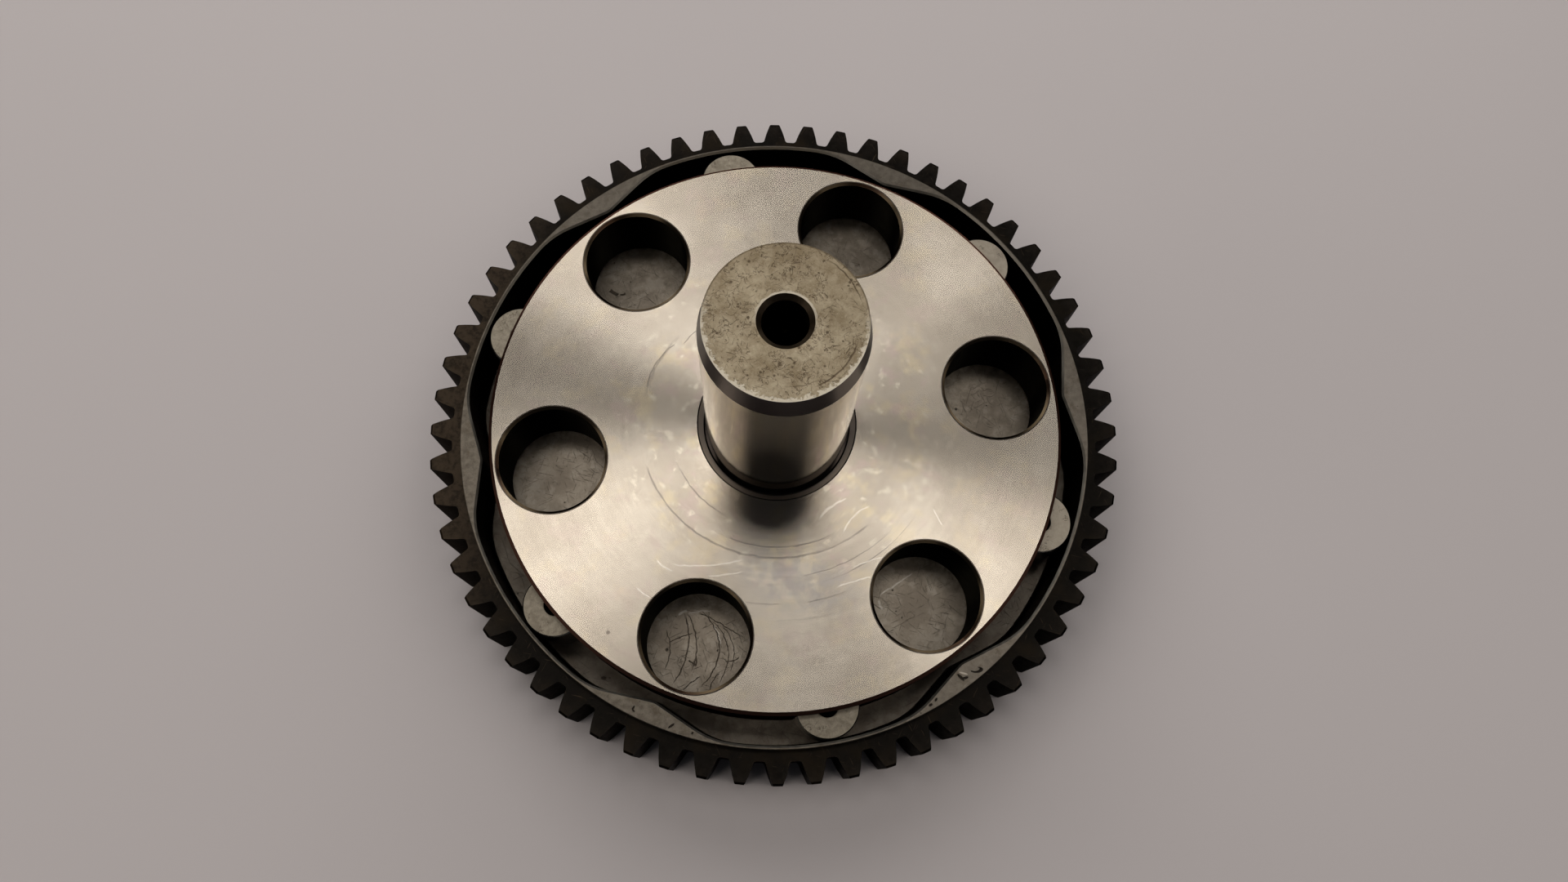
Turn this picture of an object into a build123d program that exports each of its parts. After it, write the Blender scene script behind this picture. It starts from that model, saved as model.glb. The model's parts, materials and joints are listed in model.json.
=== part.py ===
from build123d import *
import os
from math import acos, cos, degrees, hypot, pi, radians, sin, tan

# Roller overload clutch gear: a 60-tooth ring gear with a six-lobed bore, a
# slotted rotor on a 25 mm shaft, and six spring-loaded rollers between them.
# Millimetres and degrees. +Z is the shaft axis, pointing at its long end, and
# the origin is on that axis in the back face, on which the clutch stands.

# Ring gear
module = 2.0
tooth_count = 60
pressure_angle = radians(20)
face_width = 16.0
tooth_phase = 5.0
tooth_end_chamfer = 0.4
root_radius = 58.0
root_fillet = 0.6
land_radius = 56.15
land_top = 18.1
lip_radius = 50.0
lip_top = 1.8

# Six-lobed bore: pocket arcs joined by flanks that meet in rounded crests
lobe_count = 6
pocket_phase = 41.7
pocket_radius = 55.5
pocket_half_angle = 18.5
pocket_round = 15.0
crest_radius = 52.3
crest_round = 3.0
bore_chamfer = 0.35

# Star plate, its bush and the rear fastening
plate_gap = 0.2
plate_top = 5.5
plate_edge_chamfer = 0.3
bush_bore_radius = 10.05
bush_radius = 12.5
recess_radius = 16.0
recess_top = 3.0
thrust_washer_radius = 24.0
support_washer_radius = 14.5
washer_bore_radius = 10.2
axial_play = 0.1
washer_thickness = 0.9
clip_thickness = 1.2
clip_radius = 12.2
clip_bore_radius = 9.55
clip_ear_radius = 2.4
clip_ear_hole = 1.0
clip_ear_angle = 24.0
clip_gap_half_angle = 14.0

# Rotor
rotor_phase = pocket_phase + 3.0
disc_radius = 50.75
disc_top = 20.5
disc_chamfer = 0.6
drum_bottom = 6.5
flange_bottom = 17.8
hole_pitch_radius = 40.0
hole_radius = 9.25
hole_chamfer = 0.45
slot_width = 11.6
slot_bottom_radius = 40.5
plunger_bore_radius = 4.05
plunger_bore_end = 24.0

# Shaft
shaft_radius = 12.5
seat_radius = 13.0
seat_chamfer = 0.25
journal_radius = 10.0
shaft_top = 69.9
shaft_bottom = 0.3
shaft_lead_depth = 0.7
shaft_lead_length = 4.4
hub_countersink_radius = 14.16
groove_radius = 9.5
end_hole_radius = 3.4
end_hole_depth = 20.0
end_hole_mouth = 4.15
drill_point_angle = 118
centre_drill_radius = 1.0
centre_drill_mouth = 2.0
centre_drill_depth = 4.0
centre_drill_angle = 60

# Rollers, plungers and springs
roller_radius = 5.5
roller_pitch_radius = 49.7
roller_bottom = 5.85
roller_top = 17.45
roller_chamfer = 0.2
roller_dimple_radius = 1.9
roller_dimple_tip = 0.3
roller_dimple_depth = 1.1
plunger_radius = 4.0
plunger_front = 44.0
plunger_back = 34.0
plunger_pocket_radius = 2.95
plunger_pocket_end = 41.3
plunger_chamfer = 0.5
spring_mean_radius = 2.25
spring_wire_radius = 0.45
spring_turns = 8

# How far two radii may differ and still count as the same one
same_radius = 0.01

pitch_radius = module * tooth_count / 2
tip_radius = pitch_radius + module
beyond_tip = tip_radius + 1
half_pitch = 180 / tooth_count
base_radius = pitch_radius * cos(pressure_angle)
lobe_step = 360 / lobe_count
hole_phase = rotor_phase - lobe_step / 2
roller_middle = (roller_bottom + roller_top) / 2
end_hole_bottom = shaft_top - end_hole_depth
drill_point = end_hole_radius / tan(radians(drill_point_angle / 2))
support_washer_top = recess_top - axial_play
clip_top = support_washer_top - washer_thickness
clip_bottom = clip_top - clip_thickness


def polar(radius, angle):
    """A point in the XY plane at a radius and an angle in degrees."""
    return (radius * cos(radians(angle)), radius * sin(radians(angle)))


def half_tooth(radius):
    """Half a tooth's width at a radius, as an angle in degrees."""
    at_radius = acos(base_radius / radius)
    involute = tan(at_radius) - at_radius
    at_pitch = tan(pressure_angle) - pressure_angle
    return degrees(pi / (2 * tooth_count) + at_pitch - involute)


def on_radius(radius):
    """A test for the points at one distance from the axis."""
    return lambda point: abs(hypot(point.X, point.Y) - radius) < same_radius


def cam_outline(gap):
    """The six-lobed outline, drawn inwards of the bore's own by a gap."""
    pocket = pocket_radius - gap
    crest = crest_radius - gap
    with BuildSketch(mode=Mode.PRIVATE) as outline:
        with BuildLine():
            for n in range(lobe_count):
                middle = pocket_phase + n * lobe_step
                start = polar(pocket, middle - pocket_half_angle)
                end = polar(pocket, middle + pocket_half_angle)
                tip = polar(crest, middle + lobe_step / 2)
                next_start = polar(pocket, middle + lobe_step - pocket_half_angle)
                ThreePointArc(start, polar(pocket, middle), end)
                Polyline(end, tip, next_start)
        make_face()
        fillet(outline.vertices().filter_by(on_radius(crest)), crest_round)
        fillet(outline.vertices().filter_by(on_radius(pocket)), pocket_round)
    return outline.sketch


def radial_plane(angle, radius):
    """A plane at roller mid-height that faces away from the axis."""
    x, y = polar(radius, angle)
    return Plane(origin=(x, y, roller_middle), x_dir=(0, 0, 1), z_dir=(*polar(1, angle), 0))


def save(solid, name):
    """Labels a finished piece and writes its STEP file."""
    solid.label = name
    export_step(solid, f"parts/{name}.step")


os.makedirs("parts", exist_ok=True)
roller_angles = [rotor_phase + n * lobe_step for n in range(lobe_count)]


# ---- Ring gear: one gap between two teeth, then the whole ring ----
with BuildSketch() as tooth_gap:
    middle_radius = (root_radius + beyond_tip) / 2
    with BuildLine():
        left = []
        for radius in (root_radius, middle_radius, beyond_tip):
            left.append(polar(radius, half_pitch - half_tooth(radius)))
        right = [(x, -y) for x, y in left]
        ThreePointArc(*left)
        Line(left[2], right[2])
        ThreePointArc(right[2], right[1], right[0])
        ThreePointArc(right[0], (root_radius, 0), left[0])
    make_face()
    fillet(tooth_gap.vertices().filter_by(on_radius(root_radius)), root_fillet)

with BuildPart() as ring_gear:
    with BuildSketch():
        Circle(tip_radius)
        with PolarLocations(0, tooth_count, start_angle=tooth_phase + half_pitch):
            add(tooth_gap.sketch, mode=Mode.SUBTRACT)
    extrude(amount=face_width)
    with BuildSketch(Plane.XZ):
        with BuildLine():
            Polyline(
                (0, 0),
                (tip_radius - tooth_end_chamfer, 0),
                (tip_radius, tooth_end_chamfer),
                (tip_radius, face_width - tooth_end_chamfer),
                (tip_radius - tooth_end_chamfer, face_width),
                (0, face_width),
                close=True,
            )
        make_face()
    revolve(axis=Axis.Z, mode=Mode.INTERSECT)
    with BuildSketch(Plane.XY.offset(face_width)):
        Circle(land_radius)
    extrude(amount=land_top - face_width)
    with BuildSketch(Plane.XY.offset(lip_top)):
        add(cam_outline(0))
    extrude(amount=land_top - lip_top, mode=Mode.SUBTRACT)
    with BuildSketch():
        Circle(lip_radius)
    extrude(amount=lip_top, mode=Mode.SUBTRACT)
    land_face = ring_gear.faces().sort_by(Axis.Z)[-1]
    chamfer(land_face.inner_wires()[0].edges(), bore_chamfer)
save(ring_gear.part, "ring_gear")


# ---- Star plate: closes the back of the bore and carries the bush ----
with BuildPart() as star_plate:
    with BuildSketch(Plane.XY.offset(lip_top)):
        add(cam_outline(plate_gap))
    extrude(amount=plate_top - lip_top)
    chamfer(star_plate.faces().sort_by(Axis.Z)[-1].outer_wire().edges(), plate_edge_chamfer)
    with BuildSketch(Plane.XY.offset(lip_top)):
        Circle(recess_radius)
    extrude(amount=recess_top - lip_top, mode=Mode.SUBTRACT)
    with BuildSketch(Plane.XY.offset(recess_top)):
        Circle(bush_radius)
    extrude(amount=plate_top - recess_top, mode=Mode.SUBTRACT)
save(star_plate.part, "star_plate")


# ---- Bush: a plain sleeve in the star plate ----
with BuildPart() as plate_bush:
    with BuildSketch(Plane.XY.offset(recess_top)):
        Circle(bush_radius)
        Circle(bush_bore_radius, mode=Mode.SUBTRACT)
    extrude(amount=plate_top - recess_top)
save(plate_bush.part, "plate_bush")


# ---- Thrust washer: between the star plate and the rotor ----
with BuildPart() as thrust_washer:
    with BuildSketch(Plane.XY.offset(drum_bottom - washer_thickness)):
        Circle(thrust_washer_radius)
        Circle(washer_bore_radius, mode=Mode.SUBTRACT)
    extrude(amount=washer_thickness)
save(thrust_washer.part, "thrust_washer")


# ---- Rotor: flange and slotted drum in one piece ----
with BuildPart() as rotor:
    with BuildSketch(Plane.XY.offset(drum_bottom)):
        Circle(disc_radius)
    extrude(amount=disc_top - drum_bottom)
    chamfer(rotor.faces().sort_by(Axis.Z)[-1].outer_wire().edges(), disc_chamfer)
    with BuildSketch(Plane.XY.offset(drum_bottom)):
        with PolarLocations(hole_pitch_radius, lobe_count, start_angle=hole_phase):
            Circle(hole_radius)
    extrude(amount=disc_top - drum_bottom, mode=Mode.SUBTRACT)
    disc_face = rotor.faces().sort_by(Axis.Z)[-1]
    for rim in disc_face.inner_wires():
        chamfer(rim.edges(), hole_chamfer)
    with BuildSketch(Plane.XY.offset(drum_bottom)):
        Circle(seat_radius)
    extrude(amount=disc_top - drum_bottom, mode=Mode.SUBTRACT)
    circles = rotor.edges().filter_by(GeomType.CIRCLE)
    seat_rims = circles.filter_by(lambda edge: abs(edge.radius - seat_radius) < same_radius)
    chamfer(seat_rims.sort_by(Axis.Z)[-1], hub_countersink_radius - seat_radius)
    # Slots for the rollers, open at the rim and at the back
    slot_end_centre = slot_bottom_radius + slot_width / 2
    slot_reach = disc_radius + slot_width - slot_end_centre
    with BuildSketch(Plane.XY.offset(drum_bottom)):
        with PolarLocations(slot_end_centre + slot_reach / 2, lobe_count, start_angle=rotor_phase):
            SlotCenterToCenter(slot_reach, slot_width)
    extrude(amount=flange_bottom - drum_bottom, mode=Mode.SUBTRACT)
    # Blind bores for the plungers and springs, from the slots towards the shaft
    for angle in roller_angles:
        with BuildSketch(radial_plane(angle, plunger_bore_end)):
            Circle(plunger_bore_radius)
        extrude(amount=slot_end_centre - plunger_bore_end, mode=Mode.SUBTRACT)
save(rotor.part, "rotor")


# ---- Shaft: long end up, seat in the rotor, journal and clip groove at the back ----
with BuildPart() as shaft:
    with BuildSketch(Plane.XZ):
        with BuildLine():
            Polyline(
                (0, shaft_bottom),
                (journal_radius, shaft_bottom),
                (journal_radius, clip_bottom),
                (groove_radius, clip_bottom),
                (groove_radius, clip_top),
                (journal_radius, clip_top),
                (journal_radius, drum_bottom),
                (seat_radius, drum_bottom),
                (seat_radius, disc_top - seat_chamfer),
                (seat_radius - seat_chamfer, disc_top),
                (shaft_radius, disc_top),
                (shaft_radius, shaft_top - shaft_lead_length),
                (shaft_radius - shaft_lead_depth, shaft_top),
                (end_hole_mouth, shaft_top),
                (end_hole_radius, shaft_top - end_hole_mouth + end_hole_radius),
                (end_hole_radius, end_hole_bottom),
                (0, end_hole_bottom - drill_point),
                close=True,
            )
        make_face()
    revolve(axis=Axis.Z)
    with Locations(Plane.XY.offset(shaft_bottom).rotated((180, 0, 0))):
        CounterSinkHole(centre_drill_radius, centre_drill_mouth, centre_drill_depth, centre_drill_angle)
save(shaft.part, "shaft")


# ---- Support washer and retaining clip on the shaft's rear journal ----
with BuildPart() as support_washer:
    with BuildSketch(Plane.XY.offset(clip_top)):
        Circle(support_washer_radius)
        Circle(washer_bore_radius, mode=Mode.SUBTRACT)
    extrude(amount=washer_thickness)
save(support_washer.part, "support_washer")

with BuildPart() as retaining_clip:
    with BuildSketch(Plane.XY.offset(clip_bottom)):
        Circle(clip_radius)
        ear_places = [polar(clip_radius, clip_ear_angle), polar(clip_radius, -clip_ear_angle)]
        with Locations(*ear_places):
            Circle(clip_ear_radius)
            Circle(clip_ear_hole, mode=Mode.SUBTRACT)
        Circle(clip_bore_radius, mode=Mode.SUBTRACT)
        with BuildLine():
            Polyline(
                (0, 0),
                polar(recess_radius, clip_gap_half_angle),
                polar(recess_radius, -clip_gap_half_angle),
                close=True,
            )
        make_face(mode=Mode.SUBTRACT)
    extrude(amount=clip_thickness)
save(retaining_clip.part, "retaining_clip")


# ---- Six rollers, each with a plunger and a spring behind it ----
for number, angle in enumerate(roller_angles, start=1):
    roller_plane = Plane(origin=(*polar(roller_pitch_radius, angle), roller_bottom))
    upper_end = roller_plane.offset(roller_top - roller_bottom)
    lower_end = roller_plane.rotated((180, 0, 0))
    with BuildPart() as roller:
        with BuildSketch(roller_plane):
            Circle(roller_radius)
        extrude(amount=roller_top - roller_bottom)
        chamfer(roller.edges(), roller_chamfer)
        for end_plane in (upper_end, lower_end):
            with Locations(end_plane.offset(-roller_dimple_depth / 2)):
                Cone(roller_dimple_tip, roller_dimple_radius, roller_dimple_depth, mode=Mode.SUBTRACT)
    save(roller.part, f"roller_{number}")

    with BuildPart() as plunger:
        with BuildSketch(radial_plane(angle, plunger_back)):
            Circle(plunger_radius)
        extrude(amount=plunger_front - plunger_back)
        chamfer(plunger.edges(), plunger_chamfer)
        with BuildSketch(radial_plane(angle, plunger_back)):
            Circle(plunger_pocket_radius)
        extrude(amount=plunger_pocket_end - plunger_back, mode=Mode.SUBTRACT)
    save(plunger.part, f"plunger_{number}")

    with BuildPart() as spring:
        start_plane = radial_plane(angle, plunger_bore_end + spring_wire_radius)
        coil_length = plunger_pocket_end - plunger_bore_end - 2 * spring_wire_radius
        with BuildLine():
            coil = Helix(
                coil_length / spring_turns,
                coil_length,
                spring_mean_radius,
                center=start_plane.origin,
                direction=start_plane.z_dir,
            )
        with BuildSketch(Plane(origin=coil @ 0, z_dir=coil % 0)):
            Circle(spring_wire_radius)
        sweep(path=coil, is_frenet=True)
    save(spring.part, f"spring_{number}")
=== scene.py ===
import json
from math import atan2, cos, degrees, hypot, radians, sin

import bpy
from mathutils import Matrix, Vector


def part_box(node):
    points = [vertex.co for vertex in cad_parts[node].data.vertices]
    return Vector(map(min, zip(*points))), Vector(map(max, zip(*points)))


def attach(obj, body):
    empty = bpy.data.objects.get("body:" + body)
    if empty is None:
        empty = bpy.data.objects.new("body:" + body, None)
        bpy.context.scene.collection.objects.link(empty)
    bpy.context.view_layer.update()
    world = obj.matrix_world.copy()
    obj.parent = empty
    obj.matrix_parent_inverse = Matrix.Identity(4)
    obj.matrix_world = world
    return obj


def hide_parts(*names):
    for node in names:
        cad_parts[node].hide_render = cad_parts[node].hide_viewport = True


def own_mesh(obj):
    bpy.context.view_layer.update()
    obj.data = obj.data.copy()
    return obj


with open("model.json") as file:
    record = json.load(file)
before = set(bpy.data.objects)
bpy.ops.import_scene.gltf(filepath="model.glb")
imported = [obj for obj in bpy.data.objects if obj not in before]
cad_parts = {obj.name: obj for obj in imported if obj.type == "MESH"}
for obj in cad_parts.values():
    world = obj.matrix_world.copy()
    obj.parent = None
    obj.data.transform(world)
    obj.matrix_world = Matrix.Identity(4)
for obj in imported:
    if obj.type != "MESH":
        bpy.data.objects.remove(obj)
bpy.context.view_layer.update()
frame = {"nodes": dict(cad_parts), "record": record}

# Roller overload clutch gear on a pale floor. Metres, in the CAD frame: the
# shaft axis is Z and the ring gear's back face is at z = 0. The materials work
# in millimetres of the part's own frame, so marks stay on moving parts.

MM = 0.001

# Dimensions that the materials need, in millimetres and degrees
DISC_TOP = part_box("rotor")[1].z / MM
SHAFT_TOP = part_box("shaft")[1].z / MM
TAPER_LENGTH = 4.4
END_HOLE_MOUTH = 4.15
LAND_RADIUS = 56.15
LAND_TOP = 18.1
ROOT_RADIUS = 58.0
TIP_RADIUS = 62.0
DRIVE_HOLE_PITCH = 40.0
DRIVE_HOLE_RADIUS = 9.7
DRIVE_HOLE_PHASE = 14.7
SIXTH_TURN = 60.0
DISC_EDGE_RADIUS = 50.0
HUB_EDGE_RADIUS = 14.0
END_HOLE_REACH = 24.0
ROLLER_PITCH = 49.7
ROLLER_PHASE = 44.7
ROLLER_CENTRE_HOLE = 1.9
PLUNGER_COUNT = 6

# The share of a mark's half width that has its full strength
SOLID_SHARE = 0.4


# ---------------------------------------------------------------- materials


class Surface:
    """One procedural metal: a Principled shader and short names for its nodes."""

    def __init__(self, name, **constants):
        self.material = bpy.data.materials.new(name)
        self.material.use_nodes = True
        self.tree = self.material.node_tree
        self.shader = self.tree.nodes["Principled BSDF"]
        self.set("Metallic", 1.0)
        for socket, value in constants.items():
            self.set(socket.replace("_", " "), value)
        place = self.tree.nodes.new("ShaderNodeTexCoord").outputs["Object"]
        self.mm = self.vector("SCALE", place, scale=1 / MM)
        x, y, z = self.split(self.mm)
        self.x, self.y, self.z = x, y, z
        self.radius = self.math("SQRT", self.math("ADD", self.both(x, x), self.both(y, y)))
        self.angle = self.math("ARCTAN2", y, x)
        self.shake = self.math("SUBTRACT", self.noise(self.mm, 0.9, detail=4.0), 0.5)

    def set(self, socket, value):
        """Gives a shader socket a constant, or links a node's output to it."""
        target = self.shader.inputs[socket]
        if isinstance(value, bpy.types.NodeSocket):
            self.tree.links.new(value, target)
        else:
            target.default_value = value

    def plug(self, value, target):
        if isinstance(value, bpy.types.NodeSocket):
            self.tree.links.new(value, target)
        elif value is not None:
            target.default_value = value

    def math(self, operation, first, second=None):
        node = self.tree.nodes.new("ShaderNodeMath")
        node.operation = operation
        self.plug(first, node.inputs[0])
        self.plug(second, node.inputs[1])
        return node.outputs[0]

    def vector(self, operation, first, second=None, scale=None):
        node = self.tree.nodes.new("ShaderNodeVectorMath")
        node.operation = operation
        self.plug(first, node.inputs[0])
        self.plug(second, node.inputs[1])
        if scale is not None:
            self.plug(scale, node.inputs["Scale"])
        return node.outputs["Value"] if operation in ("LENGTH", "DISTANCE") else node.outputs["Vector"]

    def split(self, value):
        node = self.tree.nodes.new("ShaderNodeSeparateXYZ")
        self.plug(value, node.inputs[0])
        return node.outputs

    def join(self, x, y, z):
        node = self.tree.nodes.new("ShaderNodeCombineXYZ")
        for value, target in zip((x, y, z), node.inputs):
            self.plug(value, target)
        return node.outputs[0]

    def turned(self, angle, place=None):
        """The place turned about Z by an angle in degrees."""
        node = self.tree.nodes.new("ShaderNodeVectorRotate")
        node.rotation_type = "Z_AXIS"
        self.plug(place or self.mm, node.inputs["Vector"])
        node.inputs["Angle"].default_value = radians(angle)
        return node.outputs[0]

    def ring_place(self, radial, around, seed=0.0):
        """Coordinates for marks drawn out along circles round the axis."""
        east = self.math("MULTIPLY", self.math("COSINE", self.angle), around)
        north = self.math("MULTIPLY", self.math("SINE", self.angle), around)
        out = self.math("ADD", self.math("MULTIPLY", self.radius, radial), seed)
        return self.join(east, north, out)

    def noise(self, place, scale, detail=3.0, roughness=0.5, distortion=0.0):
        """A noise of features about 1/scale mm across, from 0 to 1."""
        node = self.tree.nodes.new("ShaderNodeTexNoise")
        self.plug(place, node.inputs["Vector"])
        node.inputs["Scale"].default_value = scale
        node.inputs["Detail"].default_value = detail
        node.inputs["Roughness"].default_value = roughness
        node.inputs["Distortion"].default_value = distortion
        return node.outputs["Fac"]

    def cells(self, place, scale, randomness=1.0):
        """The distance to the nearest of scattered points, in cell widths."""
        node = self.tree.nodes.new("ShaderNodeTexVoronoi")
        self.plug(place, node.inputs["Vector"])
        node.inputs["Scale"].default_value = scale
        node.inputs["Randomness"].default_value = randomness
        return node.outputs["Distance"]

    def span(self, value, low, high, to_low=0.0, to_high=1.0):
        """A smooth step: to_low at low and beyond it, to_high at high and beyond it."""
        node = self.tree.nodes.new("ShaderNodeMapRange")
        node.interpolation_type = "SMOOTHSTEP"
        for given, target in zip((value, low, high, to_low, to_high), node.inputs):
            self.plug(given, target)
        return node.outputs[0]

    def mix(self, amount, first, second):
        node = self.tree.nodes.new("ShaderNodeMix")
        node.data_type = "RGBA"
        node.clamp_factor = True
        self.plug(amount, node.inputs[0])
        for value, target in zip((first, second), node.inputs[6:8]):
            if isinstance(value, bpy.types.NodeSocket):
                self.tree.links.new(value, target)
            else:
                target.default_value = (*value, 1.0)
        return node.outputs[2]

    def any_of(self, *masks):
        found = masks[0]
        for mask in masks[1:]:
            found = self.math("MAXIMUM", found, mask)
        return found

    def both(self, first, second):
        return self.math("MULTIPLY", first, second)

    def without(self, mask):
        return self.math("SUBTRACT", 1.0, mask)

    def near(self, value, middle, width):
        """1 where a value is at the middle, 0 once it is a width away."""
        apart = self.math("ABSOLUTE", self.math("SUBTRACT", value, middle))
        return self.span(apart, width, SOLID_SHARE * width)

    def slopes(self):
        """Two masks: faces square to the axis, and chamfers between those and the walls."""
        geometry = self.tree.nodes.new("ShaderNodeNewGeometry")
        turn = self.tree.nodes.new("ShaderNodeVectorTransform")
        turn.vector_type = "NORMAL"
        turn.convert_from = "WORLD"
        turn.convert_to = "OBJECT"
        self.tree.links.new(geometry.outputs["Normal"], turn.inputs[0])
        rise = self.math("ABSOLUTE", self.split(turn.outputs[0])[2])
        level = self.span(rise, 0.8, 0.95)
        return level, self.both(self.span(rise, 0.3, 0.5), self.without(level))

    def scratches(self, angles, length, width, share, seed=0.0):
        """Fine straight scratches in several directions, as a mask."""
        found = []
        for number, angle in enumerate(angles):
            place = self.turned(angle)
            drawn = self.vector("MULTIPLY", place, (1 / length, 1 / width, 1 / length))
            drawn = self.vector("ADD", drawn, (seed + 7.3 * number, seed - 3.1 * number, seed))
            grain = self.noise(drawn, 1.0, detail=1.0)
            found.append(self.span(grain, 1 - share, 1 - share + 0.04))
        return self.any_of(*found)

    def spots(self, spacing, size, share, seed=0.0):
        """Scattered dark specks: a share of the points that lie a spacing apart."""
        place = self.vector("ADD", self.mm, (seed, seed, seed))
        uneven = self.math("ADD", self.cells(place, 1 / spacing), self.both(self.shake, 0.08))
        speck = self.span(uneven, size / spacing, 0.5 * size / spacing)
        kept = self.span(self.noise(place, 0.7 / spacing, detail=1.0), 1 - share, 1.04 - share)
        return self.both(speck, kept)

    def cracks(self, scale, share, seed=0.0):
        """Thin winding dark lines, broken off here and there."""
        place = self.vector("ADD", self.mm, (seed, -seed, seed))
        winding = self.noise(place, scale, detail=5.0, roughness=0.6, distortion=0.8)
        kept = self.span(self.noise(place, 0.6 * scale, detail=2.0), 1 - share, 1.06 - share)
        return self.both(self.near(winding, 0.5, 0.018), kept)

    def oval(self, centre, length, width, heading, blur=0.2):
        """One oval mark: its centre, its size and the heading of its long side from X."""
        local = self.turned(-heading, self.vector("ADD", self.mm, (-centre[0], -centre[1], 0)))
        x, y, _ = self.split(self.vector("MULTIPLY", local, (2 / length, 2 / width, 0)))
        far = self.math("SQRT", self.math("ADD", self.both(x, x), self.both(y, y)))
        return self.span(far, 1 + blur, 1 - blur)

    def dent(self, radius, angle, length, width, heading):
        """An oval mark whose centre is given as a radius and an angle."""
        centre = (radius * cos(radians(angle)), radius * sin(radians(angle)))
        return self.oval(centre, length, width, heading)

    def stroke(self, start, end, bend=0.0, width=0.2):
        """A scratch from start to end, its middle pushed to the left by a bend."""
        (x0, y0), (x1, y1) = start, end
        middle = (-(x0 + x1) / 2, -(y0 + y1) / 2, 0)
        heading = degrees(atan2(y1 - y0, x1 - x0))
        along, across, _ = self.split(self.turned(-heading, self.vector("ADD", self.mm, middle)))
        along = self.math("DIVIDE", along, hypot(x1 - x0, y1 - y0) / 2)
        line = self.both(self.without(self.both(along, along)), bend)
        line = self.math("ADD", line, self.both(self.shake, 0.7))
        ends = self.span(self.math("ABSOLUTE", along), 1.0, 0.75)
        return self.both(self.near(across, line, width), ends)

    def arc(self, radius, start, end, width=0.15):
        """A mark round the axis at a radius, from one angle to another."""
        uneven = self.math("ADD", self.radius, self.both(self.shake, 0.5))
        half = radians(end - start) / 2
        swing = self.math("COSINE", self.math("SUBTRACT", self.angle, radians(start + end) / 2))
        inside = self.span(swing, cos(half) - 0.02, cos(half) + 0.06)
        return self.both(self.near(uneven, radius, width), inside)

    def from_nearest(self, pitch, phase):
        """The distance to the nearest of six parallel axes, a pitch radius out."""
        step = radians(SIXTH_TURN)
        turn = self.math("ADD", self.angle, 10.5 * step - radians(phase))
        turn = self.math("SUBTRACT", self.math("MODULO", turn, step), step / 2)
        east = self.math("SUBTRACT", self.both(self.radius, self.math("COSINE", turn)), pitch)
        north = self.both(self.radius, self.math("SINE", turn))
        return self.math("SQRT", self.math("ADD", self.both(east, east), self.both(north, north)))

    def bump(self, height, depth_mm, strength=1.0, then=None):
        """Raises the surface by height times depth_mm, over an earlier bump if given."""
        node = self.tree.nodes.new("ShaderNodeBump")
        node.inputs["Strength"].default_value = strength
        node.inputs["Distance"].default_value = depth_mm * MM
        self.plug(height, node.inputs["Height"])
        if then is not None:
            self.tree.links.new(then, node.inputs["Normal"])
        self.set("Normal", node.outputs[0])
        return node.outputs[0]

    def round_the_axis(self, strength):
        """Stretches the shine across grooves that run round the Z axis."""
        tangent = self.tree.nodes.new("ShaderNodeTangent")
        tangent.direction_type = "RADIAL"
        tangent.axis = "Z"
        self.set("Anisotropic", strength)
        self.set("Anisotropic Rotation", 0.25)
        self.set("Tangent", tangent.outputs[0])


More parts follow.
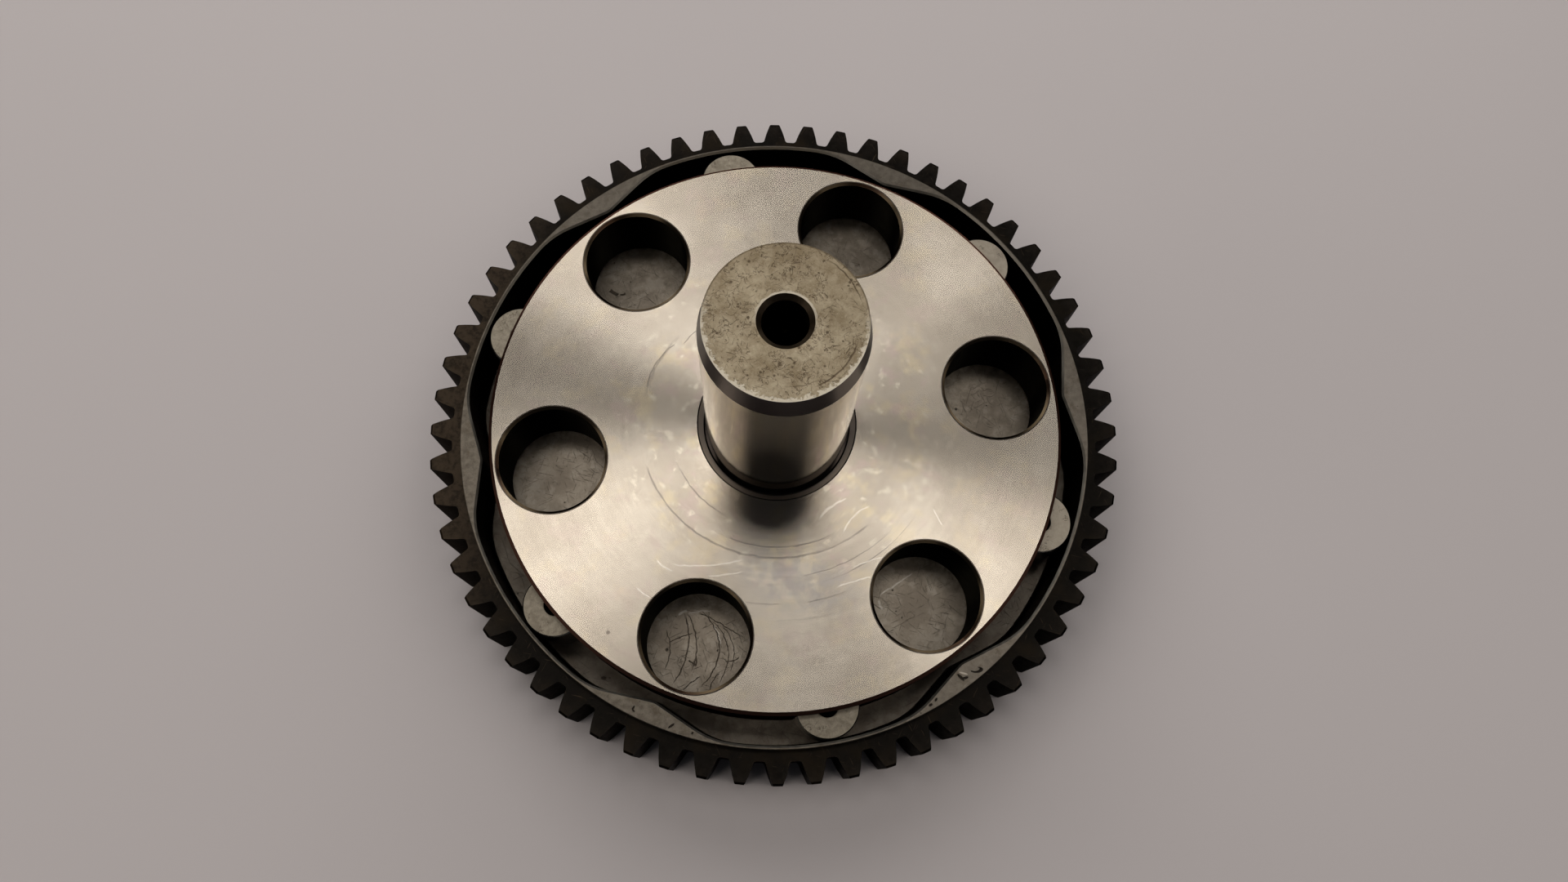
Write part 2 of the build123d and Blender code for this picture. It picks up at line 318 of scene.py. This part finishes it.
def turned_steel():
    """The rotor: a bright turned face with wear round the shaft, and walls painted near-black as shade.
    """
    s = Surface("turned_steel")
    level, chamfer = s.slopes()
    top = s.both(level, s.span(s.z, DISC_TOP - 0.3, DISC_TOP - 0.15))
    hole = s.from_nearest(DRIVE_HOLE_PITCH, DRIVE_HOLE_PHASE)
    cloud = s.noise(s.mm, 0.07, detail=4.0)
    rings = s.noise(s.ring_place(1.3, 2.0), 1.0, detail=2.0)
    fine = s.noise(s.ring_place(1.5, 3.0, 40.0), 1.0, detail=1.0)
    near_hub = s.span(s.radius, 38.0, 18.0)
    face = s.mix(s.span(cloud, 0.35, 0.65), (0.520, 0.460, 0.385), (0.640, 0.573, 0.487))
    # Stains left by hands and oil: straw, pink and, below the shaft, blue-grey
    straw = s.span(s.noise(s.mm, 0.15, detail=4.0, roughness=0.6), 0.50, 0.68)
    face = s.mix(s.both(straw, s.span(near_hub, 0, 1, 0.25, 0.65)), face, (0.73, 0.620, 0.420))
    elsewhere = s.vector("ADD", s.mm, (31.0, 9.0, 0))
    pink = s.span(s.noise(elsewhere, 0.19, detail=4.0, roughness=0.6), 0.52, 0.66)
    face = s.mix(s.both(pink, s.span(near_hub, 0, 1, 0.22, 0.6)), face, (0.57, 0.450, 0.420))
    patchy = s.span(s.noise(s.mm, 0.4, detail=5.0, roughness=0.65), 0.35, 0.65)
    face = s.mix(s.both(patchy, s.span(near_hub, 0, 1, 0.12, 0.34)), face, (0.47, 0.405, 0.335))
    blobs = s.span(s.noise(s.vector("ADD", s.mm, (5.0, 61.0, 0)), 0.55, detail=3.0), 0.58, 0.70)
    face = s.mix(s.both(blobs, s.span(near_hub, 0, 1, 0.1, 0.55)), face, (0.78, 0.715, 0.600))
    cool = s.both(s.oval((6.0, -27.5), 19.0, 10.0, -14, blur=0.5), patchy)
    face = s.mix(s.both(cool, 0.5), face, (0.40, 0.385, 0.39))
    smear = s.span(s.noise(s.mm, 0.9, detail=6.0, roughness=0.7), 0.54, 0.70)
    face = s.mix(s.both(smear, s.span(near_hub, 0, 1, 0.10, 0.34)), face, (0.44, 0.375, 0.31))
    dull_rings = s.both(s.span(rings, 0.35, 0.7), s.span(near_hub, 0, 1, 0.03, 0.18))
    face = s.mix(dull_rings, face, (0.48, 0.425, 0.36))
    worn_rings = s.any_of(
        s.arc(24.2, -156, -44, 0.24),
        s.arc(23.9, 142, 172, 0.30),
        s.arc(22.3, -108, -58, 0.14),
        s.arc(19.0, -152, -112, 0.14),
        s.arc(32.2, -98, -62, 0.16),
        s.arc(35.0, -89, -70, 0.14),
        s.arc(27.6, -84, -40, 0.10),
        s.arc(29.3, -70, -30, 0.10),
    )
    broken = s.span(s.noise(s.ring_place(3.0, 4.0, 5.0), 1.0, detail=2.0), 0.34, 0.50)
    face = s.mix(s.both(s.both(worn_rings, broken), 0.62), face, (0.20, 0.17, 0.15))
    scored = s.any_of(
        s.stroke((-23.6, 4.1), (-19.0, 13.6), 1.2, 0.13),
        s.stroke((-18.0, 13.0), (-15.2, 16.6), 0.3, 0.10),
        s.spots(7.0, 0.42, 0.40, 2.0),
    )
    face = s.mix(s.both(scored, 0.7), face, (0.17, 0.14, 0.12))
    hairlines = s.both(s.scratches((25, 70, 118, 160), 3.2, 0.10, 0.285, 3.0), near_hub)
    light_marks = s.any_of(
        s.both(hairlines, 0.55),
        s.stroke((-16.2, -26.7), (-3.2, -24.6), -0.8, 0.20),
        s.stroke((-9.8, -28.2), (-3.5, -27.0), -0.2, 0.16),
        s.stroke((-18.6, -26.3), (-15.4, -27.9), -0.2, 0.20),
        s.stroke((-21.4, -31.3), (-18.9, -32.9), 0.0, 0.18),
        s.stroke((8.6, -16.8), (13.5, -12.5), 0.5, 0.24),
        s.stroke((13.0, -19.0), (17.6, -13.5), 0.8, 0.20),
        s.stroke((12.5, -28.4), (18.6, -25.9), 0.2, 0.18),
        s.stroke((15.0, -24.8), (20.5, -22.3), 0.2, 0.12),
        s.stroke((28.4, -13.1), (30.2, -16.1), 0.0, 0.14),
    )
    face = s.mix(s.both(light_marks, 0.45), face, (0.90, 0.85, 0.78))
    # Painted shade: a thin dark line round each drive hole's rim
    face = s.mix(s.both(s.near(hole, DRIVE_HOLE_RADIUS, 0.26), 0.95), face, (0.035, 0.026, 0.020))
    # Painted shade: the bored walls and the outer edge are painted near-black
    wall = s.mix(s.noise(s.mm, 0.5), (0.005, 0.0045, 0.0035), (0.017, 0.015, 0.011))
    hub = s.span(s.radius, HUB_EDGE_RADIUS + 2.0, HUB_EDGE_RADIUS + 1.0)
    rim = s.span(s.radius, DISC_EDGE_RADIUS - 2.0, DISC_EDGE_RADIUS)
    edge = s.mix(rim, (0.16, 0.120, 0.075), (0.060, 0.030, 0.022))
    edge = s.mix(hub, edge, (0.50, 0.430, 0.370))
    outline = s.both(hub, s.span(s.radius, HUB_EDGE_RADIUS - 0.15, HUB_EDGE_RADIUS))
    edge = s.mix(outline, edge, (0.020, 0.016, 0.014))
    s.set("Base Color", s.mix(top, s.mix(chamfer, wall, edge), face))
    matt = s.mix(hub, (0.38, 0.38, 0.38), (0.48, 0.48, 0.48))
    s.set("Roughness", s.mix(top, matt, s.span(fine, 0.2, 0.8, 0.24, 0.26)))
    s.set("Specular Tint", s.mix(s.any_of(top, hub), (0.10, 0.09, 0.08), (1.0, 1.0, 1.0)))
    s.round_the_axis(1.0)
    turning = s.noise(s.ring_place(0.9, 1.5, 7.0), 1.0, detail=0.0)
    grooves = s.bump(s.both(turning, top), 0.001)
    s.bump(s.both(worn_rings, top), -0.002, then=grooves)
    return s.material


def ground_steel():
    """The shaft: ground round its length, with a dark taper and a rough, stained end."""
    s = Surface("ground_steel")
    level, _ = s.slopes()
    end = s.span(s.z, SHAFT_TOP - 1.1, SHAFT_TOP - 1.0)
    outside = s.span(s.radius, END_HOLE_MOUTH + 0.2, END_HOLE_MOUTH + 0.3)
    mouth = s.both(end, s.without(outside))
    seat = s.both(s.span(s.z, DISC_TOP + 0.05, DISC_TOP), s.span(s.z, DISC_TOP - 2.6, DISC_TOP - 2.4))
    inside = s.without(s.span(s.radius, END_HOLE_MOUTH - 0.15, END_HOLE_MOUTH + 0.05))
    bore = s.both(inside, s.span(s.z, SHAFT_TOP - END_HOLE_REACH - 1.0, SHAFT_TOP - END_HOLE_REACH))
    taper = s.span(s.z, SHAFT_TOP - TAPER_LENGTH - 0.06, SHAFT_TOP - TAPER_LENGTH + 0.06)
    grind = s.noise(s.join(s.both(s.angle, 2.0), 0.0, s.both(s.z, 3.0)), 1.0, detail=5.0, roughness=0.7)
    patch = s.noise(s.mm, 0.16, detail=5.0)
    side = s.mix(patch, (0.165, 0.136, 0.096), (0.27, 0.228, 0.166))
    side = s.mix(s.span(grind, 0.5, 0.8, 0, 0.35), side, (0.19, 0.160, 0.125))
    rubbed = s.scratches((80, 97, 102), 5.0, 0.14, 0.28, 6.0)
    side = s.mix(s.both(rubbed, 0.4), side, (0.66, 0.60, 0.50))
    side = s.mix(taper, side, s.mix(patch, (0.048, 0.038, 0.039), (0.082, 0.066, 0.065)))
    side = s.mix(seat, side, (0.020, 0.016, 0.014))
    # Painted shade: the end hole's wall is painted near-black
    side = s.mix(bore, side, (0.030, 0.026, 0.016))
    # The end: tan, clouded and pitted, with a chipped pale rim
    mottle = s.noise(s.mm, 0.34, detail=8.0, roughness=0.70)
    speckle = s.noise(s.mm, 2.6, detail=5.0, roughness=0.7)
    rust = s.span(s.noise(s.mm, 0.9, detail=8.0, roughness=0.78, distortion=0.7), 0.55, 0.66)
    tan = s.mix(s.span(mottle, 0.3, 0.7), (0.270, 0.215, 0.138), (0.480, 0.410, 0.295))
    tan = s.mix(s.both(s.span(speckle, 0.56, 0.70), 0.40), tan, (0.62, 0.55, 0.43))
    tan = s.mix(s.both(s.span(speckle, 0.44, 0.34), 0.22), tan, (0.140, 0.100, 0.060))
    tan = s.mix(s.both(rust, 0.5), tan, (0.150, 0.100, 0.055))
    tan = s.mix(s.span(s.y, 3.0, 11.0, 0.0, 0.3), tan, (0.17, 0.125, 0.07))
    specks = s.any_of(s.spots(1.1, 0.30, 0.44, 6.0), s.spots(0.7, 0.2, 0.36, 3.0))
    tan = s.mix(s.both(specks, 0.75), tan, (0.070, 0.046, 0.028))
    scores = s.scratches((10, 52, 97, 141), 2.4, 0.13, 0.28, 9.0)
    tan = s.mix(s.both(s.any_of(scores, s.cracks(0.55, 0.58, 4.0)), 0.75), tan, (0.075, 0.050, 0.032))
    crescents = s.any_of(
        s.arc(10.4, -62, -12, 0.16),
        s.arc(9.7, -84, -58, 0.12),
        s.arc(11.0, 20, 62, 0.12),
    )
    tan = s.mix(s.both(crescents, 0.7), tan, (0.085, 0.055, 0.035))
    ragged = s.math("ADD", s.radius, s.both(s.noise(s.mm, 1.1, detail=5.0, roughness=0.7), 3.2))
    chipped = s.both(s.span(ragged, 12.75, 13.05), s.span(s.y, 4.0, -3.0, 0.0, 0.8))
    tan = s.mix(chipped, tan, (0.72, 0.665, 0.56))
    far_rim = s.both(s.span(s.radius, 11.5, 11.7), s.span(s.y, -1.0, 4.0, 0.0, 0.6))
    tan = s.mix(far_rim, tan, (0.10, 0.072, 0.045))
    uneven = s.math("ADD", s.radius, s.both(s.shake, 0.9))
    # Painted highlight: a pale ring round the end hole's mouth, stronger towards +Y
    lip = s.span(uneven, END_HOLE_MOUTH + 0.45, END_HOLE_MOUTH + 0.2)
    tan = s.mix(s.both(lip, s.span(s.y, -2.0, 3.5, 0.0, 0.8)), tan, (0.66, 0.60, 0.50))
    flare = s.mix(s.noise(s.mm, 1.5), (0.075, 0.055, 0.035), (0.150, 0.112, 0.075))
    s.set("Base Color", s.mix(s.both(end, level), s.mix(mouth, side, flare), tan))
    smooth = s.mix(taper, s.span(grind, 0.2, 0.8, 0.07, 0.10), (0.30, 0.30, 0.30))
    s.set("Roughness", s.mix(s.both(end, level), smooth, (0.5, 0.5, 0.5)))
    s.round_the_axis(0.35)
    pits = s.bump(s.both(s.math("ADD", mottle, s.both(speckle, 0.4)), s.both(end, level)), 0.07)
    torn = s.bump(s.both(s.any_of(scores, crescents), s.both(end, level)), -0.05, then=pits)
    s.bump(s.both(grind, s.without(end)), 0.0015, then=torn)
    return s.material


def gear_steel():
    """The ring: dark oiled teeth and a ground, lighter land with a few nicks."""
    s = Surface("gear_steel")
    level, chamfer = s.slopes()
    land = s.both(level, s.span(s.z, LAND_TOP - 0.3, LAND_TOP - 0.1))
    land = s.both(land, s.span(s.radius, LAND_RADIUS - 0.05, LAND_RADIUS - 0.2))
    inboard = s.span(s.radius, ROOT_RADIUS - 0.2, ROOT_RADIUS - 0.4)
    back = s.both(level, s.both(s.span(s.z, 0.1, 0.05), inboard))
    grain = s.noise(s.mm, 0.9, detail=6.0, roughness=0.7)
    oil = s.noise(s.mm, 0.13, detail=4.0)
    dark = s.mix(grain, (0.005, 0.0045, 0.004), (0.016, 0.014, 0.012))
    dark = s.mix(s.span(oil, 0.45, 0.7, 0, 0.7), dark, (0.020, 0.015, 0.010))
    worn = s.both(s.span(s.radius, ROOT_RADIUS + 0.5, TIP_RADIUS), s.span(grain, 0.3, 0.7, 0.3, 1))
    dark = s.mix(s.both(s.both(worn, level), 0.4), dark, (0.034, 0.027, 0.022))
    brown = s.both(s.span(s.x, -42.0, -58.0), s.span(grain, 0.35, 0.6, 0.3, 0.9))
    dark = s.mix(brown, dark, (0.050, 0.037, 0.026))
    streaks = s.scratches((8, 60, 112), 3.0, 0.22, 0.27, 2.0)
    dark = s.mix(s.both(streaks, 0.5), dark, (0.055, 0.040, 0.027))
    # Painted highlight: the chamfer at the bore's edge is painted light
    dark = s.mix(s.both(s.both(chamfer, s.span(s.radius, 57.0, 56.5)), 0.9), dark, (0.40, 0.375, 0.33))
    ground = s.mix(s.span(grain, 0.3, 0.7), (0.112, 0.096, 0.077), (0.196, 0.172, 0.141))
    # Painted light and shade: the land is painted lighter towards +X and darker towards +Y
    ground = s.mix(s.span(s.x, 5.0, 45.0, 0.0, 0.3), ground, (0.27, 0.24, 0.205))
    ground = s.mix(s.span(s.y, 5.0, 40.0, 0.0, 0.45), ground, (0.085, 0.075, 0.064))
    stain = s.span(s.noise(s.mm, 0.35, detail=5.0, roughness=0.65), 0.52, 0.66)
    ground = s.mix(s.both(stain, 0.5), ground, (0.090, 0.070, 0.048))
    lines = s.scratches((15, 48, 83, 127, 164), 3.5, 0.10, 0.27, 5.0)
    ground = s.mix(s.both(lines, 0.3), ground, (0.32, 0.29, 0.24))
    ground = s.mix(s.both(s.spots(2.6, 0.26, 0.45, 8.0), 0.7), ground, (0.030, 0.022, 0.016))
    nicks = s.any_of(
        s.dent(54.2, 310.05, 1.35, 0.42, -41),
        s.dent(54.7, 310.65, 1.0, 0.38, 21),
        s.both(s.dent(54.9, 313.2, 1.9, 0.9, 12), s.without(s.dent(54.55, 313.0, 1.8, 0.75, 6))),
        s.dent(55.0, 304.1, 0.6, 0.35, 62),
        s.dent(55.3, 302.8, 0.6, 0.4, 37),
        s.dent(54.8, 248.75, 0.65, 0.28, -116),
        s.dent(55.2, 249.0, 0.5, 0.26, -42),
        s.dent(55.1, 256.1, 1.15, 0.34, 40),
        s.dent(55.2, 260.0, 0.4, 0.3, 71),
    )
    raised = s.dent(53.9, 310.9, 1.5, 0.3, -10)
    ground = s.mix(s.both(raised, 0.7), ground, (0.55, 0.50, 0.43))
    ground = s.mix(s.both(nicks, 0.92), ground, (0.016, 0.012, 0.010))
    s.set("Base Color", s.mix(s.any_of(land, back), dark, ground))
    oiled = s.span(grain, 0.2, 0.8, 0.32, 0.5)
    dry = s.span(grain, 0.2, 0.8, 0.34, 0.44)
    s.set("Roughness", s.mix(s.any_of(land, back), oiled, dry))
    s.set("Specular Tint", (0.24, 0.23, 0.22, 1.0))
    skin = s.bump(grain, 0.02)
    s.bump(s.both(s.both(nicks, land), -1.0), 0.25, then=skin)
    return s.material


def plate_steel():
    """The star plate: dull ground steel, clouded, pitted and scored in arcs."""
    s = Surface("plate_steel")
    grain = s.noise(s.mm, 0.6, detail=7.0, roughness=0.7)
    cloud = s.noise(s.mm, 0.16, detail=4.0)
    base = s.mix(s.span(grain, 0.3, 0.7), (0.240, 0.205, 0.162), (0.430, 0.375, 0.308))
    base = s.mix(s.span(cloud, 0.42, 0.62, 0, 0.65), base, (0.188, 0.156, 0.122))
    light_patch = s.span(s.noise(s.mm, 0.45, detail=5.0), 0.55, 0.68)
    base = s.mix(s.both(light_patch, 0.4), base, (0.47, 0.42, 0.355))
    # Painted shade: the plate outside the disc's edge, under its rim, is painted darker
    base = s.mix(s.span(s.radius, 49.5, 51.0, 0.0, 0.55), base, (0.050, 0.040, 0.033))
    pits = s.any_of(s.spots(2.8, 0.34, 0.46, 5.0), s.spots(1.7, 0.2, 0.42, 1.0))
    base = s.mix(s.both(pits, 0.8), base, (0.035, 0.028, 0.022))
    lines = s.scratches((8, 35, 66, 103, 149), 4.0, 0.13, 0.28, 1.0)
    base = s.mix(s.both(lines, 0.45), base, (0.090, 0.075, 0.062))
    # Scores seen through the drive holes, and two dark marks
    scores = s.any_of(
        s.stroke((-14.0, -32.6), (-14.9, -46.2), 2.0, 0.13),
        s.stroke((-11.4, -31.6), (-10.0, -46.5), 3.9, 0.12),
        s.stroke((-13.4, -32.7), (-11.5, -43.6), 1.4, 0.11),
        s.stroke((-11.4, -32.5), (-2.7, -36.5), 0.2, 0.09),
        s.stroke((-16.2, -38.6), (-11.8, -36.4), 0.1, 0.09),
        s.stroke((-12.2, -41.4), (-10.7, -42.3), 0.1, 0.16),
        s.stroke((-10.8, -42.3), (-10.7, -40.8), 0.0, 0.14),
        s.stroke((-5.6, -41.0), (-3.0, -39.9), -0.3, 0.13),
        s.stroke((-9.6, -43.8), (-12.6, -46.8), -0.2, 0.10),
        s.stroke((-6.4, -43.0), (-8.0, -46.6), -0.2, 0.10),
        s.stroke((-8.9, -33.6), (-6.6, -45.4), 2.6, 0.09),
        s.stroke((-16.9, -36.0), (-16.4, -43.5), 1.0, 0.09),
        s.stroke((-6.9, -34.4), (-4.6, -43.0), 1.5, 0.08),
        s.stroke((-34.7, 28.7), (-32.9, 27.7), -0.2, 0.42),
        s.stroke((-32.6, 27.7), (-31.6, 28.2), -0.1, 0.3),
        s.dent(53.0, 239.5, 0.95, 0.55, 5),
    )
    base = s.mix(s.both(scores, 0.8), base, (0.030, 0.022, 0.016))
    shine = s.any_of(
        s.stroke((-14.9, -33.4), (-13.3, -32.3), 0.0, 0.28),
        s.stroke((-13.2, -33.0), (-9.0, -32.2), 0.2, 0.16),
        s.stroke((-8.3, -34.6), (-6.6, -38.2), 0.2, 0.14),
        s.stroke((21.2, -26.8), (27.5, -22.0), 0.0, 0.18),
        s.stroke((21.4, -27.5), (22.2, -29.3), -0.2, 0.30),
    )
    base = s.mix(s.both(shine, 0.6), base, (0.62, 0.58, 0.52))
    s.set("Base Color", base)
    s.set("Roughness", s.span(grain, 0.2, 0.8, 0.36, 0.5))
    skin = s.bump(grain, 0.012)
    s.bump(s.any_of(pits, lines, scores), -0.03, then=skin)
    return s.material


def roller_steel():
    """The rollers: ground sides, and matt ends with a centre dimple painted dark as shade."""
    s = Surface("roller_steel")
    level, _ = s.slopes()
    grain = s.noise(s.mm, 1.1, detail=7.0, roughness=0.75)
    stain = s.noise(s.mm, 0.35, detail=4.0)
    face = s.mix(s.span(grain, 0.3, 0.7), (0.200, 0.172, 0.134), (0.345, 0.310, 0.250))
    face = s.mix(s.span(stain, 0.5, 0.7, 0, 0.5), face, (0.160, 0.135, 0.105))
    # Painted light: the roller ends towards +X are painted lighter
    face = s.mix(s.span(s.x, 20.0, 45.0, 0, 0.4), face, (0.56, 0.50, 0.42))
    marks = s.any_of(s.spots(1.3, 0.2, 0.42, 3.0), s.cracks(0.7, 0.46, 2.0))
    face = s.mix(s.both(marks, 0.7), face, (0.055, 0.042, 0.032))
    lines = s.scratches((30, 84, 131), 2.2, 0.10, 0.27, 4.0)
    face = s.mix(s.both(lines, 0.4), face, (0.50, 0.46, 0.40))
    side = s.mix(grain, (0.42, 0.40, 0.37), (0.56, 0.54, 0.50))
    # Painted shade: the centre dimple of each roller end is painted dark
    middle = s.math("ADD", s.from_nearest(ROLLER_PITCH, ROLLER_PHASE), s.both(s.shake, 0.8))
    centre_hole = s.span(middle, ROLLER_CENTRE_HOLE + 0.3, ROLLER_CENTRE_HOLE - 0.3)
    steel = s.mix(level, side, face)
    s.set("Base Color", s.mix(s.both(centre_hole, 0.9), steel, (0.040, 0.028, 0.020)))
    s.set("Roughness", s.mix(level, (0.24, 0.24, 0.24), s.span(grain, 0.2, 0.8, 0.42, 0.55)))
    s.bump(grain, 0.012)
    return s.material


def spring_steel():
    """Springs, support washer and clip: dark oiled spring steel."""
    s = Surface("spring_steel")
    grain = s.noise(s.mm, 1.5, detail=5.0, roughness=0.7)
    film = s.noise(s.mm, 0.3, detail=3.0)
    base = s.mix(grain, (0.055, 0.052, 0.050), (0.13, 0.122, 0.115))
    s.set("Base Color", s.mix(s.span(film, 0.45, 0.7, 0, 0.5), base, (0.17, 0.14, 0.10)))
    s.set("Roughness", s.span(grain, 0.2, 0.8, 0.28, 0.45))
    s.bump(grain, 0.008)
    return s.material


def bearing_bronze():
    """Bush and thrust washer: turned bronze, a little tarnished."""
    s = Surface("bronze")
    rings = s.noise(s.ring_place(4.0, 2.0), 1.0, detail=4.0, roughness=0.65)
    tarnish = s.noise(s.mm, 0.4, detail=5.0, roughness=0.6)
    base = s.mix(s.span(rings, 0.3, 0.7), (0.50, 0.31, 0.14), (0.70, 0.47, 0.24))
    s.set("Base Color", s.mix(s.span(tarnish, 0.48, 0.7, 0, 0.6), base, (0.20, 0.12, 0.06)))
    s.set("Roughness", s.span(rings, 0.2, 0.8, 0.3, 0.42))
    s.round_the_axis(0.5)
    s.bump(rings, 0.006)
    return s.material


finishes = {
    "turned_steel": turned_steel(),
    "ground_steel": ground_steel(),
    "gear_steel": gear_steel(),
    "plate_steel": plate_steel(),
    "roller_steel": roller_steel(),
    "spring_steel": spring_steel(),
    "bronze": bearing_bronze(),
}
for part in frame["record"]["subparts"]:
    for slot in frame["nodes"][part["node"]].material_slots:
        slot.material = finishes[part["material_slot"]]


# ---------------------------------------------------------------- the springs


def shortening_spring(number):
    """A copy of the CAD spring, carried with the rotor and shown in place of the CAD one."""
    cad = frame["nodes"][f"spring_{number}"]
    spring = bpy.data.objects.new(f"coil_spring_{number}", cad.data.copy())
    bpy.context.scene.collection.objects.link(spring)
    spring.matrix_world = cad.matrix_world.copy()
    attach(spring, "rotor_assembly")
    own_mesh(spring)
    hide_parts(f"spring_{number}")


for number in range(1, PLUNGER_COUNT + 1):
    shortening_spring(number)


# ---------------------------------------------------------------- the floor


def make_floor(size=3.0):
    """A wide pale pinkish-grey table top, a hair under the gear."""
    mesh = bpy.data.meshes.new("floor")
    half = size / 2
    corners = [(-half, -half, 0), (half, -half, 0), (half, half, 0), (-half, half, 0)]
    mesh.from_pydata(corners, [], [(0, 1, 2, 3)])
    floor = bpy.data.objects.new("floor", mesh)
    floor.location.z = -0.00005
    bpy.context.scene.collection.objects.link(floor)
    s = Surface("pale_table", Metallic=0.0, Roughness=0.62)
    tone = s.noise(s.mm, 0.008, detail=3.0)
    s.set("Base Color", s.mix(tone, (0.600, 0.560, 0.574), (0.636, 0.593, 0.608)))
    mesh.materials.append(s.material)


make_floor()


# ---------------------------------------------------------------- the light


def soft_box(name, east, north, size, brightness, twist=0.0, color=(1, 1, 1), distance=1.0):
    """A soft rectangular light, in the direction whose level parts are east and north."""
    out = Vector((east, north, max(0.05, 1 - east**2 - north**2) ** 0.5)).normalized()
    light = bpy.data.lights.new(name, "AREA")
    light.shape = "RECTANGLE"
    light.size, light.size_y = size
    light.energy = brightness * size[0] * size[1]
    light.color = color
    lamp = bpy.data.objects.new(name, light)
    across = Vector((0, 1, 0)).cross(out).normalized()
    along = out.cross(across)
    turn = Matrix((across, along, out)).transposed() @ Matrix.Rotation(radians(twist), 3, "Z")
    lamp.matrix_world = Matrix.Translation(out * distance) @ turn.to_4x4()
    lamp.visible_camera = False
    bpy.context.scene.collection.objects.link(lamp)


world = bpy.data.worlds.new("room")
world.use_nodes = True
world.node_tree.nodes["Background"].inputs["Color"].default_value = (0.92, 0.93, 1.0, 1.0)
world.node_tree.nodes["Background"].inputs["Strength"].default_value = 0.03
bpy.context.scene.world = world
bpy.context.scene.view_settings.view_transform = "Standard"

WARM = (1.0, 0.93, 0.84)
NEUTRAL = (1.0, 0.965, 0.915)
soft_box("overhead", -0.02, 0.19, (0.46, 0.15), 11.5, 0, NEUTRAL)
soft_box("near_left", -0.59, -0.19, (0.72, 0.54), 5.3, 19, WARM)
soft_box("near_right", 0.60, -0.09, (0.72, 0.52), 3.6, -3, WARM)
soft_box("far_left", -0.42, 0.69, (0.80, 0.56), 6.3, -6, NEUTRAL)
soft_box("far_right", 0.36, 0.80, (0.84, 0.52), 4.4, 20, NEUTRAL)
soft_box("far_low", 0.0, 0.94, (1.40, 0.30), 4.0, 0, NEUTRAL)


# ---------------------------------------------------------------- the camera


def make_camera():
    """Looks down at the clutch from above its near edge, turned a little on its axis."""
    place = Vector((0.0, -61.59, 226.85)) * MM
    yaw, pitch, roll = radians(1.50), radians(74.20), radians(6.365)
    ahead = Vector((sin(yaw) * cos(pitch), cos(yaw) * cos(pitch), -sin(pitch)))
    level = Vector((cos(yaw), -sin(yaw), 0))
    upward = level.cross(ahead)
    right = level * cos(roll) + upward * sin(roll)
    top = upward * cos(roll) - level * sin(roll)
    camera = bpy.data.objects.new("camera", bpy.data.cameras.new("camera"))
    camera.data.sensor_width = 36.0
    camera.data.lens = 27.9
    camera.data.clip_start = 0.01
    turn = Matrix((right, top, -ahead)).transposed().to_4x4()
    camera.matrix_world = Matrix.Translation(place) @ turn
    bpy.context.scene.collection.objects.link(camera)
    bpy.context.scene.camera = camera


make_camera()
